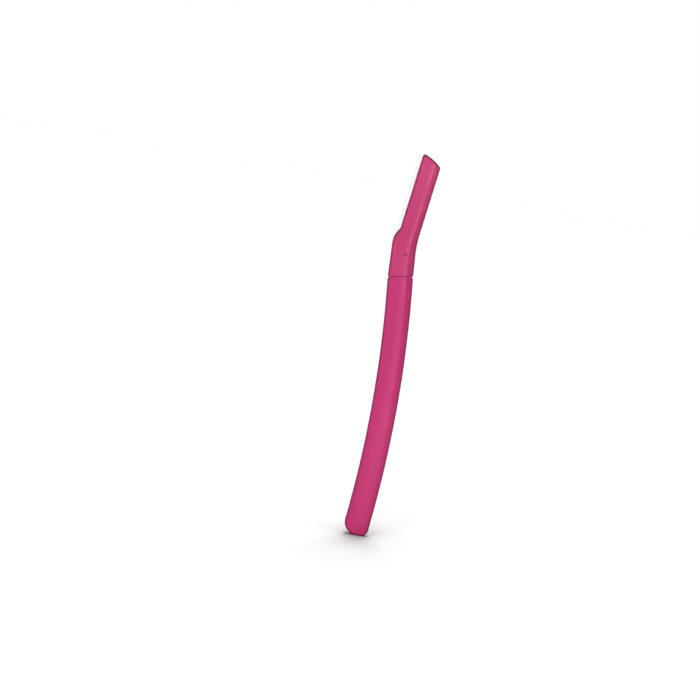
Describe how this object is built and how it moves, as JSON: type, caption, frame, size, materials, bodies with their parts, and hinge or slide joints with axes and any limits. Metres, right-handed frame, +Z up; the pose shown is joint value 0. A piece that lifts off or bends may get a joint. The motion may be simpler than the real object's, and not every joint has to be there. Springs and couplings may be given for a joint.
{
  "type": "eyebrow razor",
  "caption": "Slim bowed razor for the brows: plug-in head bent back from the handle, with a short blade behind a slotted foil guard and a slanted tip.",
  "frame": {"origin": "grip point, on the handle's centreline where it bows out furthest", "axes": "+Z up along the razor to the head, +X to the spine and -X to the cutting edge, broad faces along -Y (front) and +Y (back)"},
  "size_m": [0.0133, 0.0048, 0.1499],
  "materials": {
    "plastic": "pink moulded polypropylene, semi-gloss",
    "blade_steel": "stainless strip, ground edge",
    "guard_steel": "bright stainless foil"
  },
  "bodies": {
    "handle": {"handle": "plastic"},
    "head": {"head": "plastic", "blade": "blade_steel", "blade_guard": "guard_steel"}
  },
  "joints": [
    {"name": "head_pull", "type": "slide", "parent": "handle", "child": "head", "axis": [-0.0698, 0, 0.9976], "range_m": [0, 0.013]}
  ]
}
